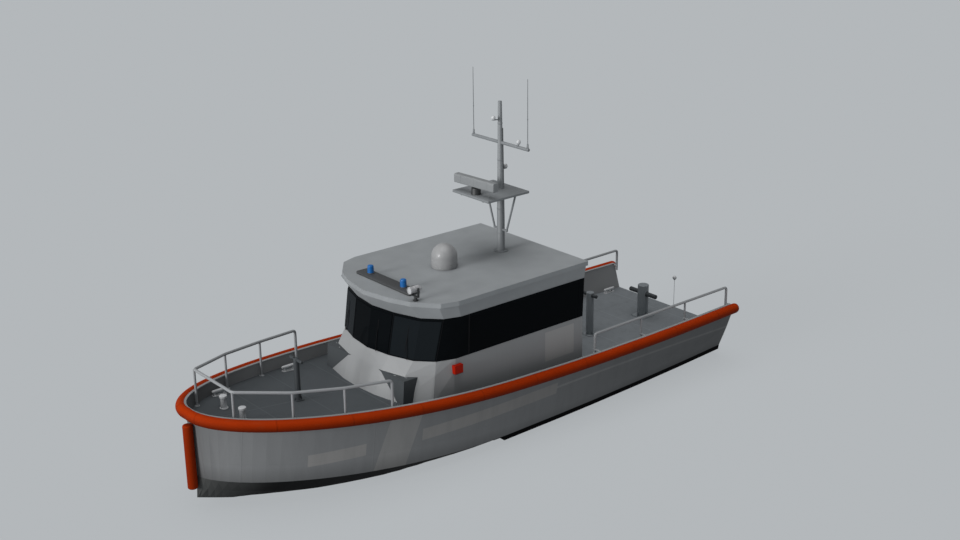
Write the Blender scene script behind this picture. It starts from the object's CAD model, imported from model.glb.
"""Looks of the response boat: smooth fittings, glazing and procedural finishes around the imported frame.

Metres, +X to the bow, +Y to port, +Z up; the water's surface, and so the floor, is at z = 0.
"""

import logging
import math
from dataclasses import dataclass, field, replace
from enum import Enum
from typing import Any, ClassVar, Sequence

import bpy
import numpy as np
from mathutils import Matrix, Vector


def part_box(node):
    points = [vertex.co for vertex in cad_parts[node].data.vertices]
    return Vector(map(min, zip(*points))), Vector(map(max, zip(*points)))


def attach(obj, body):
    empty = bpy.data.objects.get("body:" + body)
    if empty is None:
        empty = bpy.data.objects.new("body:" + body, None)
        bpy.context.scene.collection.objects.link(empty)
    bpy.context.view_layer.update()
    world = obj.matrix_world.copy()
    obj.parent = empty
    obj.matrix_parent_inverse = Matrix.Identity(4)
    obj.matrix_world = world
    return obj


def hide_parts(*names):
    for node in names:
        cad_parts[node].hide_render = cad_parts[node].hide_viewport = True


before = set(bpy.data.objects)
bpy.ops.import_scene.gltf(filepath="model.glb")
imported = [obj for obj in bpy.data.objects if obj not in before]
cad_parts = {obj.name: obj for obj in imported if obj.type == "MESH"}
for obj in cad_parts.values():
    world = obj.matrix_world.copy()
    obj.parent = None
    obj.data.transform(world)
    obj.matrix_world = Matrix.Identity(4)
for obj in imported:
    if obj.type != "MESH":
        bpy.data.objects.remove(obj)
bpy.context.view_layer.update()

Array = np.ndarray
Triple = tuple[float, float, float]
Colour = Triple
log = logging.getLogger("boat")

SIDES = ((1.0, "port"), (-1.0, "starboard"))


class Body(Enum):
    """Bodies of the frame that pieces ride on."""

    BOAT = "boat"
    DOOR = "door"
    SCANNER = "scanner"
    YOKE = "yoke"
    LAMP = "lamp"
    LID_PORT = "lid_port"
    LID_STARBOARD = "lid_starboard"
    NOZZLE_PORT = "nozzle_port"
    NOZZLE_STARBOARD = "nozzle_starboard"
    BUCKET_PORT = "bucket_port"
    BUCKET_STARBOARD = "bucket_starboard"


class Slot(Enum):
    """Material slots of the record that pieces take."""

    BITT = "bitt_paint"
    COLLAR = "collar_foam"
    HOUSE = "house_paint"
    RAIL = "rail_metal"
    MAST = "mast_paint"
    DOME = "dome_plastic"
    GEAR = "gear_black"
    LAMP = "lamp_metal"
    SEAT = "seat_trim"
    JET = "jet_metal"


# Shader expressions

class Sock:
    """A node's output in an expression: each operator adds the Math node that works it out."""

    def __init__(self, graph: "Graph", output: bpy.types.NodeSocket) -> None:
        """Keep the graph and the output."""
        self.graph = graph
        self.output = output

    def __add__(self, other: "Value") -> "Sock":
        """Sum."""
        return self.graph.math("ADD", self, other)

    __radd__ = __add__

    def __sub__(self, other: "Value") -> "Sock":
        """Difference."""
        return self.graph.math("SUBTRACT", self, other)

    def __rsub__(self, other: "Value") -> "Sock":
        """Difference, the other way round."""
        return self.graph.math("SUBTRACT", other, self)

    def __mul__(self, other: "Value") -> "Sock":
        """Product."""
        return self.graph.math("MULTIPLY", self, other)

    __rmul__ = __mul__

    def __truediv__(self, other: "Value") -> "Sock":
        """Quotient."""
        return self.graph.math("DIVIDE", self, other)

    def __pow__(self, other: "Value") -> "Sock":
        """Power."""
        return self.graph.math("POWER", self, other)

    def __abs__(self) -> "Sock":
        """Size without sign."""
        return self.graph.math("ABSOLUTE", self)

    def at_least(self, other: "Value") -> "Sock":
        """Larger of the two."""
        return self.graph.math("MAXIMUM", self, other)

    def at_most(self, other: "Value") -> "Sock":
        """Smaller of the two."""
        return self.graph.math("MINIMUM", self, other)

    def over(self, edge: "Value", soft: float = 0.004) -> "Sock":
        """1 above the edge and 0 below it, with a soft step between."""
        return self.graph.node("ShaderNodeMapRange", {"interpolation_type": "SMOOTHSTEP"},
                               {"Value": self - edge, "From Min": -soft, "From Max": soft})

    def within(self, low: "Value", high: "Value", soft: float = 0.004) -> "Sock":
        """1 between the two edges."""
        return self.over(low, soft) * (1.0 - self.over(high, soft))

    def lines(self, pitch: float, width: float) -> "Sock":
        """1 on narrow lines that repeat at a pitch."""
        share = abs(self.graph.math("FRACT", self / pitch) - 0.5)
        return 1.0 - share.over(width / pitch / 2, width / pitch / 4)


Value = Sock | float


def full(colour: Any) -> Any:
    """A colour with its alpha added, or a link as it is."""
    return colour if isinstance(colour, Sock) else (*colour, 1.0)


class Graph:
    """One material's nodes around its Principled shader."""

    def __init__(self, name: str) -> None:
        """A new material with Blender's own shader in it."""
        self.material = bpy.data.materials.new(name)
        self.material.use_nodes = True
        self.tree = self.material.node_tree
        self.shader = self.tree.nodes["Principled BSDF"]
        place = self.node("ShaderNodeTexCoord", {}, {}, "Object")
        self.place = place
        self.x, self.y, self.z = (self.node("ShaderNodeSeparateXYZ", {}, {0: place}, axis) for axis in "XYZ")

    def node(self, kind: str, settings: dict[str, Any], sockets: dict[Any, Any],
             output: int | str = 0) -> Sock:
        """Add a node.

        Args:
            kind: its type.
            settings: its own settings, made first.
            sockets: values or links of its inputs.
            output: which output is wanted.

        Returns:
            That output.
        """
        made = self.tree.nodes.new(kind)
        for key, value in settings.items():
            setattr(made, key, value)
        for key, value in sockets.items():
            self.feed(made.inputs[key], value)
        return Sock(self, made.outputs[output])

    def feed(self, target: bpy.types.NodeSocket, value: Any) -> None:
        """Link an input, or set its value."""
        if isinstance(value, Sock):
            self.tree.links.new(value.output, target)
        else:
            target.default_value = value

    def math(self, operation: str, *values: Value) -> Sock:
        """A Math node on the values."""
        return self.node("ShaderNodeMath", {"operation": operation}, dict(enumerate(values)))

    def noise(self, scale: float, detail: float = 2.0, stretch: Triple = (1.0, 1.0, 1.0)) -> Sock:
        """Add noise.

        Args:
            scale: its scale per metre.
            detail: how many finer layers it has.
            stretch: factors of its three directions.

        Returns:
            Values from 0 to 1.
        """
        place = self.place
        if stretch != (1.0, 1.0, 1.0):
            place = self.node("ShaderNodeMapping", {}, {"Vector": self.place, "Scale": stretch})
        return self.node("ShaderNodeTexNoise", {}, {"Vector": place, "Scale": scale, "Detail": detail})

    def cells(self, scale: float) -> Sock:
        """Distance to the nearest of scattered points, at a scale per metre."""
        return self.node("ShaderNodeTexVoronoi", {}, {"Vector": self.place, "Scale": scale})

    def mix(self, factor: Value, first: Any, second: Any) -> Sock:
        """Colour mix of the first and the second."""
        sockets = {0: factor, 6: full(first), 7: full(second)}
        return self.node("ShaderNodeMix", {"data_type": "RGBA"}, sockets, 2)

    def shade(self, colour: Any, amount: Value, dark: float, light: float) -> Sock:
        """A colour made darker where the amount is 0 and lighter where it is 1."""
        tint = self.mix(amount, (dark,) * 3, (light,) * 3)
        settings = {"data_type": "RGBA", "blend_type": "MULTIPLY"}
        return self.node("ShaderNodeMix", settings, {0: 1.0, 6: full(colour), 7: tint}, 2)

    def facing(self, axis: str) -> Sock:
        """Part of the surface's outward direction that lies along an axis."""
        normal = self.node("ShaderNodeNewGeometry", {}, {}, "Normal")
        return self.node("ShaderNodeSeparateXYZ", {}, {0: normal}, axis)

    def bump(self, height: Sock, distance: float, strength: float = 1.0, under: Sock | None = None) -> Sock:
        """Add a bump.

        Args:
            height: its height field.
            distance: height where the field is 1.
            strength: its strength.
            under: an earlier bump that it lies over.

        Returns:
            The normal.
        """
        sockets: dict[Any, Any] = {"Height": height, "Distance": distance, "Strength": strength}
        if under is not None:
            sockets["Normal"] = under
        return self.node("ShaderNodeBump", {}, sockets)

    def output(self, colour: Any, roughness: Value, metallic: Value = 0.0, normal: Sock | None = None,
               **fixed: float) -> bpy.types.Material:
        """Feed the shader.

        Args:
            colour: colour or link.
            roughness: value or link.
            metallic: value or link.
            normal: bump, if any.
            fixed: values of sockets that are the same all over, spaces written as underscores.

        Returns:
            The finished material.
        """
        sockets = {"Base Color": full(colour), "Roughness": roughness, "Metallic": metallic}
        if normal is not None:
            sockets["Normal"] = normal
        sockets |= {key.replace("_", " "): value for key, value in fixed.items()}
        for key, value in sockets.items():
            self.feed(self.shader.inputs[key], value)
        return self.material


# Finishes

@dataclass(frozen=True)
class Finish:
    """A plain finish: one colour, faintly mottled, with a fine grain."""

    name: str
    colour: Colour
    roughness: float = 0.5
    metallic: float = 0.0
    grain: float = 300.0
    depth: float = 0.0002
    specular: float = 0.5
    made: ClassVar[dict[str, bpy.types.Material]] = {}

    def material(self) -> bpy.types.Material:
        """The finish's material, made on its first use."""
        if self.name not in self.made:
            self.made[self.name] = self.paint(Graph(self.name))
        return self.made[self.name]

    def tone(self, times: float) -> Colour:
        """The colour times a number."""
        red, green, blue = self.colour
        return red * times, green * times, blue * times

    def paint(self, graph: Graph) -> bpy.types.Material:
        """Mottled colour and a fine even grain.

        Args:
            graph: the material's nodes.

        Returns:
            The finished material.
        """
        cloud = graph.noise(2.5, 4.0)
        colour = graph.shade(self.colour, cloud, 0.88, 1.12)
        roughness = self.roughness + (cloud - 0.5) * 0.16
        normal = graph.bump(graph.noise(self.grain), self.depth)
        return graph.output(colour, roughness, self.metallic, normal, Specular_IOR_Level=self.specular)


@dataclass(frozen=True)
class Gloss(Finish):
    """Smooth moulded plastic or a lens: clear coat over an even colour with faint haze."""

    coat: float = 0.5

    def paint(self, graph: Graph) -> bpy.types.Material:
        """Slow haze in colour and roughness under a clear coat.

        Args:
            graph: the material's nodes.

        Returns:
            The finished material.
        """
        haze = graph.noise(14.0, 3.0)
        colour = graph.shade(self.colour, haze, 0.94, 1.06)
        normal = graph.bump(graph.noise(self.grain), self.depth)
        return graph.output(colour, self.roughness + (haze - 0.5) * 0.1, self.metallic, normal,
                            Coat_Weight=self.coat, Coat_Roughness=0.08, Specular_IOR_Level=self.specular)


@dataclass(frozen=True)
class Glazing(Finish):
    """Black edge of bonded glass, as shiny as the panes."""

    def paint(self, graph: Graph) -> bpy.types.Material:
        """Slow haze in colour and roughness with a low reflection.

        Args:
            graph: the material's nodes.

        Returns:
            The finished material.
        """
        haze = graph.noise(6.0, 3.0)
        colour = graph.shade(self.colour, haze, 0.8, 1.2)
        normal = graph.bump(graph.noise(1.4, 1.0), 0.002)
        return graph.output(colour, self.roughness + haze * 0.06, 0.0, normal, IOR=1.06)


@dataclass(frozen=True)
class TintedGlass(Finish):
    """Dark tinted glass that lets a little of the inside show, with faint smears."""

    def paint(self, graph: Graph) -> bpy.types.Material:
        """Smears from stretched noise change the gloss alone."""
        smear = graph.noise(5.0, 5.0, (1.0, 1.0, 4.0))
        wave = graph.bump(graph.noise(1.4, 1.0), 0.002)
        return graph.output(self.colour, self.roughness + smear * 0.06, 0.0, wave, Alpha=0.985, IOR=1.06)


@dataclass(frozen=True)
class FoamSkin(Finish):
    """Sprayed skin of the foam collar: soft sheen, fine pebble, and welded seams along its run."""

    seam_pitch: float = 1.46
    seam_width: float = 0.022
    scuffed: Colour = (0.16, 0.05, 0.02)
    underside: float = 0.42
    top: float = 1.40

    def paint(self, graph: Graph) -> bpy.types.Material:
        """Seams follow the distance run along the collar; the skin is lighter the more it faces up.

        Args:
            graph: the material's nodes.

        Returns:
            The finished material.
        """
        run = graph.node("ShaderNodeAttribute", {"attribute_name": "run"}, {}, "Fac")
        seam = run.lines(self.seam_pitch, self.seam_width)
        cloud = graph.noise(1.7, 4.0)
        scuff = graph.noise(9.0, 5.0, (0.35, 0.35, 2.5)).over(0.64, 0.06)
        colour = graph.shade(self.colour, cloud, 0.86, 1.14)
        colour = graph.mix(seam * 0.35, colour, self.tone(0.45))
        colour = graph.mix(scuff * 0.12, colour, self.scuffed)
        colour = graph.shade(colour, graph.facing("Z").over(0.0, 1.0), self.underside, self.top)
        pebble = graph.bump(graph.cells(220.0), 0.0006)
        normal = graph.bump(seam, 0.003, 0.8, pebble)
        roughness = self.roughness + cloud * 0.12 + scuff * 0.1
        return graph.output(colour, roughness, 0.0, normal, Specular_IOR_Level=0.04)


@dataclass(frozen=True)
class BrushedMetal(Finish):
    """Polished or brushed tube and casting: fine scratches and water marks."""

    def paint(self, graph: Graph) -> bpy.types.Material:
        """Scratches are noise stretched along X; marks are rounded noise.

        Args:
            graph: the material's nodes.

        Returns:
            The finished material.
        """
        scratch = graph.noise(60.0, 3.0, (0.2, 3.0, 3.0))
        marks = graph.noise(16.0, 3.0).over(0.6, 0.1)
        colour = graph.shade(self.colour, scratch, 0.9, 1.08)
        roughness = self.roughness + (scratch - 0.5) * 0.12 + marks * 0.08
        return graph.output(colour, roughness, self.metallic, graph.bump(scratch, 0.0003))


@dataclass(frozen=True)
class CastMetal(Finish):
    """Sand-cast metal with pitted skin and dark staining."""

    def paint(self, graph: Graph) -> bpy.types.Material:
        """Pits from scattered points, stains from broad noise.

        Args:
            graph: the material's nodes.

        Returns:
            The finished material.
        """
        stain = graph.noise(6.0, 5.0)
        pits = graph.cells(160.0)
        colour = graph.shade(self.colour, stain, 0.62, 1.1)
        return graph.output(colour, self.roughness + stain * 0.2, self.metallic, graph.bump(pits, 0.0008))


@dataclass(frozen=True)
class DeckPaint(Finish):
    """Non-slip deck paint: gritty panels with smooth narrow lanes between them."""

    pitch: float = 1.15
    lane: float = 0.03
    stained: Colour = (0.03, 0.032, 0.034)

    def paint(self, graph: Graph) -> bpy.types.Material:
        """Grit is fine noise; lanes repeat along X and run down the middle; traffic lightens it.

        Args:
            graph: the material's nodes.

        Returns:
            The finished material.
        """
        lanes = graph.x.lines(self.pitch, self.lane).at_least(graph.y.within(-self.lane / 2, self.lane / 2))
        grit = graph.noise(420.0, 1.0)
        traffic = graph.noise(1.1, 5.0)
        stains = graph.noise(6.0, 4.0).over(0.58, 0.12)
        colour = graph.shade(self.colour, traffic, 0.86, 1.14)
        colour = graph.shade(colour, grit, 0.9, 1.1)
        colour = graph.mix(lanes * 0.2, colour, self.tone(1.25))
        colour = graph.mix(stains * 0.12, colour, self.stained)
        normal = graph.bump(grit * (1.0 - lanes), 0.0022)
        return graph.output(colour, self.roughness - lanes * 0.25, 0.0, normal)


@dataclass(frozen=True)
class Fade:
    """A change of shade along the boat.

    Attributes:
        middle: x of its middle.
        half: half its length.
        aft: shade abaft it.
        ahead: shade forward of it.
    """

    middle: float
    half: float
    aft: float
    ahead: float

    def over(self, graph: Graph, colour: Any) -> Sock:
        """The colour with the change of shade over it."""
        return graph.shade(colour, graph.x.over(self.middle, self.half), self.aft, self.ahead)


@dataclass(frozen=True)
class HullPaint(Finish):
    """Hull sides with their painted panels, slash stripe, light line, cap rail and black bottom.

    Attributes:
        bottom: colour under the chine.
        forefoot: colour under the chine near the stem.
        panel: colour of the painted panels.
        slash: colour of the slash stripe.
        line: colour of the light line.
        inner: colour of the bulwarks' inner faces.
        cap: colour of the cap rail.
        panels: x and z of each panel's edges.
        slash_x: the slash stripe's edges at the waterline.
        slash_lean: how far it leans aft per metre of height.
        line_bend: x abaft which the light line drops.
        line_z: its height before it does.
        line_sag: its drop a metre abaft the bend; it grows with the square of the distance.
        line_half: half its width.
        side_fade: shade of the sides along the boat.
        stem_fade: shade at the stem.
        inner_fade: shade of the inner faces.
        chine_height: height over the chine in which the sides get lighter.
        cap_depth: depth of the cap rail.
        plate: distance between seams.
        seam_height: edges of the long seam, above the chine.
        frame_pitch: distance between the frames that show through.
    """

    bottom: Colour = (0.003, 0.003, 0.0033)
    forefoot: Colour = (0.060, 0.062, 0.061)
    panel: Colour = (0.215, 0.210, 0.205)
    slash: Colour = (0.210, 0.208, 0.205)
    line: Colour = (0.215, 0.215, 0.216)
    inner: Colour = (0.255, 0.258, 0.262)
    cap: Colour = (0.27, 0.28, 0.285)
    panels: tuple[tuple[float, float, float, float], ...] = ((3.82, 4.96, 0.845, 1.115),
                                                             (-0.95, 2.59, 0.85, 1.12))
    slash_x: tuple[float, float] = (3.028, 3.748)
    slash_lean: float = 0.273
    line_bend: float = -0.97
    line_z: float = 1.003
    line_sag: float = 0.00635
    line_half: float = 0.028
    side_fade: Fade = Fade(middle=-1.25, half=5.25, aft=0.71, ahead=1.25)
    stem_fade: Fade = Fade(middle=6.45, half=0.25, aft=1.0, ahead=0.72)
    inner_fade: Fade = Fade(middle=5.1, half=1.0, aft=1.0, ahead=0.5)
    chine_height: float = 0.34
    cap_depth: float = 0.012
    plate: float = 2.44
    seam_height: tuple[float, float] = (0.395, 0.405)
    frame_pitch: float = 0.61

    def paint(self, graph: Graph) -> bpy.types.Material:
        """Sides with their markings, the cap rail above the sheer and the bottom under the chine.

        Args:
            graph: the material's nodes.

        Returns:
            The finished material.
        """
        x, z = graph.x, graph.z
        chine, sheer = CHINE.at(x), SHEER.at(x)
        outside = (graph.facing("Y") * graph.y).over(0.05, 0.03)
        cloud = graph.noise(0.9, 5.0)
        runs = graph.noise(3.2, 5.0, (1.6, 1.6, 0.16)).over(0.55, 0.15)
        colour = graph.shade(self.colour, cloud, 0.93, 1.07)
        for mask, tone in self.markings(graph):
            colour = graph.mix(mask * outside, colour, tone)
        colour = graph.mix(runs * outside * 0.16, colour, self.tone(0.7))
        colour = self.stem_fade.over(graph, self.side_fade.over(graph, colour))
        colour = graph.mix(1.0 - outside, colour, self.inner_fade.over(graph, self.inner))
        tide = ((z - chine) / self.chine_height).at_most(1.0) + (0.5 - x.over(1.0, 2.5) * 0.5)
        colour = graph.shade(colour, tide.at_most(1.0), 0.66, 1.0)
        rim = z.over(sheer - self.cap_depth, 0.002)
        colour = graph.mix(rim, colour, self.cap)
        under = 1.0 - z.over(chine - 0.004, 0.003)
        worn = graph.mix(x.over(6.0, 0.7), self.bottom, self.forefoot)
        colour = graph.mix(under, colour, graph.shade(worn, graph.noise(2.0, 5.0), 0.7, 1.4))
        level = (z - chine).within(*self.seam_height, 0.002)
        seams = x.lines(self.plate, 0.014).at_least(level) * (1.0 - rim)
        frames = graph.math("SINE", x * (math.tau / self.frame_pitch))
        normal = graph.bump(graph.noise(260.0), 0.0002)
        normal = graph.bump(frames * outside, 0.0004, 1.0, normal)
        normal = graph.bump(seams, 0.0015, 1.0, normal)
        roughness = self.roughness + (cloud - 0.5) * 0.14 + under * 0.15
        return graph.output(colour, roughness, 0.0, normal, IOR=1.07)

    def markings(self, graph: Graph) -> list[tuple[Sock, Colour]]:
        """Where the painted markings lie on the sides.

        Args:
            graph: the material's nodes.

        Returns:
            Each marking's mask and colour.
        """
        x, z = graph.x, graph.z
        lean = x + self.slash_lean * z
        abaft = (x - self.line_bend).at_most(0.0)
        trace = abs(z - self.line_z + self.line_sag * abaft * abaft)
        masks = [(x.within(*edges[:2]) * z.within(*edges[2:]), self.panel) for edges in self.panels]
        masks.append((lean.within(*self.slash_x), self.slash))
        masks.append(((1.0 - trace.over(self.line_half)) * (1.0 - x.over(self.panels[-1][0])), self.line))
        return masks


@dataclass(frozen=True)
class HousePaint(Finish):
    """House paint with its plate seams and the warm grey panel on each side."""

    panel: Colour = (0.338, 0.334, 0.332)
    panel_x: tuple[float, float] = (-1.75, -0.91)
    panel_z: tuple[float, float] = (1.50, 2.17)
    side_y: float = 1.58
    side_shade: float = 0.91
    plate: float = 1.42

    def paint(self, graph: Graph) -> bpy.types.Material:
        """Panels are ranges of x and z on the sides; rain streaks are noise stretched upright.

        Args:
            graph: the material's nodes.

        Returns:
            The finished material.
        """
        x, y, z = graph.x, graph.y, graph.z
        cloud = graph.noise(1.2, 5.0)
        runs = graph.noise(5.0, 4.0, (1.5, 1.5, 0.12)).over(0.6, 0.12)
        colour = graph.shade(self.colour, cloud, 0.95, 1.05)
        side = abs(y).over(self.side_y, 0.01)
        colour = graph.shade(colour, side, 1.0, self.side_shade)
        panel = x.within(*self.panel_x) * z.within(*self.panel_z) * side
        colour = graph.mix(panel, colour, self.panel)
        colour = graph.mix(runs * 0.10 * side, colour, self.tone(0.7))
        seams = (x + 0.62).lines(self.plate, 0.012) * side
        normal = graph.bump(graph.noise(240.0), 0.0002)
        normal = graph.bump(seams, 0.0012, 1.0, normal)
        return graph.output(colour, self.roughness + (cloud - 0.5) * 0.12, 0.0, normal)


@dataclass(frozen=True)
class Vinyl(Finish):
    """Seat cover: leathery pores and a soft sheen."""

    def paint(self, graph: Graph) -> bpy.types.Material:
        """Pores from scattered points, folds from slow noise.

        Args:
            graph: the material's nodes.

        Returns:
            The finished material.
        """
        pores = graph.cells(380.0)
        folds = graph.noise(9.0, 3.0)
        colour = graph.shade(self.colour, folds, 0.8, 1.25)
        normal = graph.bump(pores, 0.0006, 1.0, graph.bump(folds, 0.004, 0.5))
        return graph.output(colour, self.roughness + folds * 0.12, 0.0, normal, Sheen_Weight=0.15)


HULL = HullPaint("hull_coating", (0.166, 0.169, 0.172), 0.5)
HOUSE = HousePaint("house_coating", (0.285, 0.292, 0.297), 0.5)
ROOF = Finish("roof_coating", (0.262, 0.277, 0.287), 0.55)
DECK = DeckPaint("deck_nonslip", (0.060, 0.069, 0.076), 0.8)
COCKPIT = DeckPaint("cockpit_nonslip", (0.155, 0.170, 0.182), 0.8)
LOCKER = Finish("locker_coating", (0.052, 0.059, 0.064), 0.65)
BITT = Finish("bitt_coating", (0.048, 0.054, 0.059), 0.6, specular=0.3)
AFT_BITT = Finish("aft_bitt_coating", (0.195, 0.215, 0.229), 0.5)
FOAM = FoamSkin("collar_skin", (0.232, 0.0190, 0.0007), 0.6)
GLASS = TintedGlass("tinted_glazing", (0.004, 0.005, 0.006), 0.07)
SCREEN = TintedGlass("screen_glazing", (0.0105, 0.0132, 0.0155), 0.07)
BAND = Glazing("glazing_band", (0.004, 0.005, 0.006), 0.09)
TUBE = BrushedMetal("rail_tube", (0.29, 0.30, 0.31), 0.5, 0.1)
CLEAT = BrushedMetal("cleat_casting", (0.50, 0.51, 0.52), 0.5, 0.1)
MAST = Finish("mast_coating", (0.195, 0.207, 0.216), 0.5)
DOME = Gloss("dome_shell", (0.285, 0.287, 0.290), 0.5, coat=0.1)
SCANNER = Gloss("scanner_shell", (0.215, 0.225, 0.231), 0.5, coat=0.06)
BLACK = Finish("gear_moulding", (0.028, 0.030, 0.031), 0.5)
BAR = Finish("light_bar_moulding", (0.046, 0.048, 0.050), 0.6)
RUBBER = Finish("rubber_seal", (0.008, 0.008, 0.009), 0.8, specular=0.1)
LAMP_BODY = Gloss("lamp_enamel", (0.42, 0.42, 0.43), 0.4)
BLUE = Gloss("beacon_lens", (0.005, 0.110, 0.35), 0.3, specular=0.3, coat=0.15)
RED = Gloss("port_lens_glass", (0.36, 0.010, 0.001), 0.45, specular=0.08, coat=0.0)
GREEN = Gloss("starboard_lens_glass", (0.008, 0.22, 0.06), 0.15, coat=0.8)
CLEAR = Gloss("lamp_globe", (0.50, 0.51, 0.52), 0.2, coat=0.25)
JET = CastMetal("jet_casting", (0.30, 0.31, 0.31), 0.4, 0.85)
SEAT = Vinyl("seat_cover", (0.030, 0.031, 0.034), 0.55)


# Surfaces

@dataclass
class Patch:
    """A closed surface.

    Attributes:
        points: its points, one row each.
        quads: its four-sided faces.
        tris: its three-sided faces.
        run: distance along it of each point, for patterns that follow it.
    """

    points: Array
    quads: Array
    tris: Array
    run: Array

    def moved(self, offset: Sequence[float]) -> "Patch":
        """The same surface moved."""
        return replace(self, points=self.points + np.asarray(offset, float))

    def mirrored(self) -> "Patch":
        """The surface on the other side of the centreline, its faces turned round."""
        return Patch(self.points * (1.0, -1.0, 1.0), self.quads[:, ::-1], self.tris[:, ::-1], self.run)

    def on(self, side: float) -> "Patch":
        """The surface on a side: 1 for port, as drawn, and -1 for starboard."""
        return self if side > 0 else self.mirrored()

    def spun(self, angle: float, centre: Sequence[float], axis: str = "Z") -> "Patch":
        """The surface turned by an angle about an axis through a centre."""
        turn = np.array(Matrix.Rotation(angle, 3, axis))
        return replace(self, points=(self.points - centre) @ turn.T + centre)

    def sheared(self, slope: float, centre_x: float) -> "Patch":
        """The surface with z raised by a slope times the distance along x."""
        lift = np.zeros_like(self.points)
        lift[:, 2] = slope * (self.points[:, 0] - centre_x)
        return replace(self, points=self.points + lift)

    def repeated(self, places: Array) -> "Patch":
        """The surface once at each of the places.

        Args:
            places: one place in each row.

        Returns:
            All of them as one surface.
        """
        count, total = len(self.points), len(places)
        step = np.arange(total)[:, None, None] * count
        return Patch((self.points[None] + np.asarray(places)[:, None]).reshape(-1, 3),
                     (self.quads[None] + step).reshape(-1, 4), (self.tris[None] + step).reshape(-1, 3),
                     np.tile(self.run, total))


def joined(patches: Sequence[Patch]) -> Patch:
    """All patches as one, each one's face numbers raised by the points before it.

    Args:
        patches: surfaces.

    Returns:
        One surface.
    """
    starts = np.cumsum([0] + [len(p.points) for p in patches[:-1]])
    return Patch(np.concatenate([p.points for p in patches]),
                 np.concatenate([p.quads + s for p, s in zip(patches, starts)]),
                 np.concatenate([p.tris + s for p, s in zip(patches, starts)]),
                 np.concatenate([p.run for p in patches]))


def outward(patch: Patch) -> Patch:
    """Turn the faces outwards: the volume under them, summed from triangles to the origin, is positive.

    Args:
        patch: a closed surface.

    Returns:
        The same surface, its faces turned round if they faced inwards.
    """
    tris = np.concatenate([patch.tris, patch.quads[:, [0, 1, 2]], patch.quads[:, [0, 2, 3]]])
    a, b, c = patch.points[tris].transpose(1, 0, 2)
    if float(np.sum(a * np.cross(b, c))) >= 0:
        return patch
    return replace(patch, quads=patch.quads[:, ::-1], tris=patch.tris[:, ::-1])


def carried(rings: Array, looped: bool = False, run: Array | None = None) -> Patch:
    """Skin over rings of points: ring i joined to ring i + 1, and each ring closed on itself.

    Args:
        rings: rings by points by xyz.
        looped: join the last ring to the first; otherwise both ends get a fan to their middle.
        run: distance along for each ring.

    Returns:
        The closed surface.
    """
    rows, cols = rings.shape[:2]
    spans = rows if looped else rows - 1
    row, col = np.meshgrid(np.arange(spans), np.arange(cols), indexing="ij")
    ahead, beside = ((row + 1) % rows) * cols, (col + 1) % cols
    quads = np.stack([row * cols + col, row * cols + beside, ahead + beside, ahead + col], -1).reshape(-1, 4)
    points = rings.reshape(-1, 3)
    along = np.repeat(np.zeros(rows) if run is None else run, cols)
    if looped:
        return outward(Patch(points, quads, np.zeros((0, 3), int), along))
    here, after = np.arange(cols), (np.arange(cols) + 1) % cols
    last = (rows - 1) * cols
    start = np.stack([after, here, np.full(cols, len(points))], -1)
    end = np.stack([last + here, last + after, np.full(cols, len(points) + 1)], -1)
    return outward(Patch(np.concatenate([points, rings[[0, -1]].mean(1)]), quads,
                         np.concatenate([start, end]), np.concatenate([along, along[[0, -1]]])))


def unit(vectors: Array) -> Array:
    """Vectors divided by their length."""
    return vectors / np.linalg.norm(vectors, axis=-1, keepdims=True)


def squares(path: Array, reference: Sequence[float]) -> tuple[Array, Array]:
    """Two directions square to a path: side is tangent x reference, other is side x tangent."""
    tangent = unit(np.gradient(path, axis=0))
    side = unit(np.cross(tangent, np.asarray(reference, float)))
    return side, np.cross(side, tangent)


def circle(sides: int) -> tuple[Array, Array]:
    """Cosines and sines round a circle."""
    angle = np.arange(sides) * math.tau / sides
    return np.cos(angle)[None, :, None], np.sin(angle)[None, :, None]


def tube(path: Sequence[Sequence[float]], radius: float | Array, sides: int = 16,
         reference: Sequence[float] = (0.7, 0.1, 0.7)) -> Patch:
    """Round tube: path + radius x (cos a x side + sin a x other).

    Args:
        path: points of its middle line.
        radius: one radius, or one for each point.
        sides: points round it.
        reference: a direction that the path never takes.

    Returns:
        The closed tube.
    """
    line = np.asarray(path, float)
    side, other = squares(line, reference)
    cos, sin = circle(sides)
    size = np.broadcast_to(np.asarray(radius, float), len(line))[:, None, None]
    return carried(line[:, None] + size * (cos * side[:, None] + sin * other[:, None]))


def bent(corners: Sequence[Sequence[float]], radius: float, steps: int = 7) -> Array:
    """Path with each inner corner rounded by a parabola: (1-t)^2 A + 2t(1-t) B + t^2 C.

    Args:
        corners: its corners.
        radius: distance from a corner at which its parabola starts.
        steps: points on a parabola.

    Returns:
        The path's points.
    """
    points = np.asarray(corners, float)
    before, at, after = points[:-2], points[1:-1], points[2:]
    start, end = at + radius * unit(before - at), at + radius * unit(after - at)
    t = np.linspace(0.0, 1.0, steps)[None, :, None]
    bends = (1 - t) ** 2 * start[:, None] + 2 * t * (1 - t) * at[:, None] + t ** 2 * end[:, None]
    return np.concatenate([points[:1], bends.reshape(-1, 3), points[-1:]])


def spin(profile: Sequence[Sequence[float]], start: Sequence[float], axis: Sequence[float] = (0, 0, 1),
         sides: int = 32, looped: bool = False) -> Patch:
    """Profile of (distance, radius) turned about an axis n: start + d n + r (cos a s + sin a o).

    Args:
        profile: distances along the axis with their radii.
        start: where the distances start.
        axis: the axis's direction.
        sides: points round it.
        looped: the profile is closed, as for a ring, and has no ends.

    Returns:
        The closed surface.
    """
    outline = np.asarray(profile, float)
    n = unit(np.asarray(axis, float))
    s = unit(np.cross(n, (0.0, 0.0, 1.0) if abs(n[2]) < 0.9 else (1.0, 0.0, 0.0)))
    o = np.cross(n, s)
    cos, sin = circle(sides)
    centre = np.asarray(start, float) + outline[:, :1] * n
    rings = centre[:, None] + outline[:, 1][:, None, None] * (cos * s + sin * o)
    return carried(rings, looped)


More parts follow.
